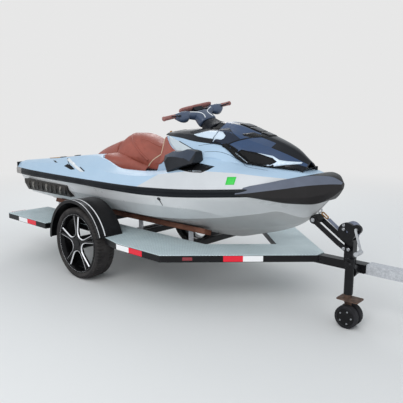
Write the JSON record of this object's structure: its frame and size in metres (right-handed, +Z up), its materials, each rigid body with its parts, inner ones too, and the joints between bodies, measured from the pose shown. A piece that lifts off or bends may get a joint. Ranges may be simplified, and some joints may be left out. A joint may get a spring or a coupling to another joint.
{
  "type": "personal watercraft on a trailer",
  "caption": "Jet-driven personal watercraft with a saddle seat and raised handlebar, on a decked single-axle trailer with fenders, winch post and jack wheel.",
  "frame": {"origin": "on the ground under the middle of the whole length, on the centreline", "axes": "+X to the bow and the trailer's coupler, +Y to port, +Z up"},
  "size_m": [4.3579, 1.664, 1.5165],
  "materials": {
    "hull_gelcoat": "glossy light silver-grey gelcoat",
    "deck_gelcoat": "glossy ice-blue silver gelcoat",
    "rubber_black": "satin black rubber",
    "seat_vinyl": "grained saddle-brown marine vinyl",
    "mat_foam": "brushed tan closed-cell foam",
    "console_plastic": "grained black plastic",
    "hood_navy": "glossy navy paint",
    "slate_plastic": "satin slate-blue plastic",
    "grip_brown": "ribbed brown rubber",
    "bar_black": "black powder coat",
    "engine_iron": "plain casting",
    "pump_alloy": "cast and turned alloy",
    "frame_black": "gloss black paint on steel",
    "deck_tread": "raised tread plate",
    "galvanised": "hot-dip galvanised",
    "rusty_steel": "rusted mill steel",
    "bunk_board": "orange-brown treated board",
    "tyre": "matt black tread",
    "rim_black": "gloss black with bright machined edges",
    "plated": "zinc plate",
    "webbing": "woven tan webbing",
    "caster_black": "moulded black wheel",
    "lamp_red": "red lens",
    "screen_black": "dark instrument panel with its screen off"
  },
  "bodies": {
    "root": {"hull": "hull_gelcoat", "deck": "deck_gelcoat", "rub_rails": "rubber_black", "bow_bumper": "rubber_black", "stern_bumper": "rubber_black", "seat_passenger": "seat_vinyl", "seat_driver": "seat_vinyl", "knee_pad": "seat_vinyl", "console": "console_plastic", "rear_mats": "mat_foam", "foot_mats": "mat_foam", "engine_block": "engine_iron", "trailer_frame": "frame_black", "deck_plate": "deck_tread", "cross_members": "rusty_steel", "tongue": "frame_black", "coupler": "galvanised", "axle_tube": "galvanised", "trailing_arms": "galvanised", "fender_starboard": "frame_black", "fender_port": "frame_black", "bunks": "bunk_board", "bunk_brackets": "galvanised", "winch_stand": "frame_black", "bow_roller": "rubber_black", "winch_frame": "frame_black", "winch_drum": "plated", "winch_crank": "plated", "winch_strap": "webbing", "bow_hook": "plated", "jack_bracket": "frame_black", "hood_hinge": "console_plastic", "side_pods": "console_plastic", "sponsons": "rubber_black", "pump_housing": "pump_alloy", "ride_plate": "pump_alloy", "intake_grate": "pump_alloy", "tow_eyes": "plated", "display": "screen_black", "tail_lamps": "lamp_red"},
    "wheel_starboard": {"hub_starboard": "frame_black", "rim_starboard": "rim_black", "tyre_starboard": "tyre"},
    "wheel_port": {"hub_port": "frame_black", "rim_port": "rim_black", "tyre_port": "tyre"},
    "steering": {"steering_neck": "slate_plastic", "handlebar": "bar_black", "grips": "grip_brown", "bar_pad": "grip_brown", "bar_housings": "slate_plastic"},
    "front_hood": {"hood": "hood_navy"},
    "impeller": {"impeller": "pump_alloy"},
    "nozzle": {"steering_nozzle": "pump_alloy"},
    "bucket": {"reverse_bucket": "pump_alloy"},
    "jack_outer": {"jack_tube": "frame_black"},
    "jack_inner": {"jack_leg": "galvanised"},
    "caster_swivel": {"caster_fork": "galvanised"},
    "caster_wheel": {"caster_wheels": "caster_black"}
  },
  "joints": [
    {"name": "wheel_starboard_spin", "type": "hinge", "parent": "root", "child": "wheel_starboard", "pos_m": [-0.711, -0.725, 0.308], "axis": [0, 1, 0], "continuous": true},
    {"name": "wheel_port_spin", "type": "hinge", "parent": "root", "child": "wheel_port", "pos_m": [-0.711, 0.725, 0.308], "axis": [0, 1, 0], "continuous": true},
    {"name": "steering_turn", "type": "hinge", "parent": "root", "child": "steering", "pos_m": [-0.051, 0, 1.424], "axis": [-0.766, 0, 0.6428], "range_deg": [-10.5, 39.5]},
    {"name": "nozzle_steer", "type": "hinge", "parent": "root", "child": "nozzle", "pos_m": [-1.999, 0, 0.545], "axis": [0, 0, 1], "range_deg": [-31.6, 8.4]},
    {"name": "bucket_drop", "type": "hinge", "parent": "root", "child": "bucket", "pos_m": [-1.936, 0, 0.545], "axis": [0, -1, 0], "range_deg": [0, 60]},
    {"name": "impeller_spin", "type": "hinge", "parent": "root", "child": "impeller", "pos_m": [-1.861, 0, 0.545], "axis": [1, 0, 0], "continuous": true},
    {"name": "hood_open", "type": "hinge", "parent": "root", "child": "front_hood", "pos_m": [1.02, 0, 1.018], "axis": [0, 1, 0], "range_deg": [0, 60]},
    {"name": "jack_swing", "type": "hinge", "parent": "root", "child": "jack_outer", "pos_m": [1.429, -0.142, 0.372], "axis": [0, -1, 0], "range_deg": [0, 90]},
    {"name": "jack_screw", "type": "slide", "parent": "jack_outer", "child": "jack_inner", "axis": [0, 0, -1], "range_m": [-0.02, 0.12]},
    {"name": "caster_turn", "type": "hinge", "parent": "jack_inner", "child": "caster_swivel", "pos_m": [1.429, -0.142, 0.19], "axis": [0, 0, 1], "continuous": true},
    {"name": "caster_roll", "type": "hinge", "parent": "caster_swivel", "child": "caster_wheel", "pos_m": [1.442, -0.142, 0.078], "axis": [0, 1, 0], "continuous": true}
  ],
  "couplings": [
    {"joint": "nozzle_steer", "follows": "steering_turn", "ratio": -0.8}
  ]
}
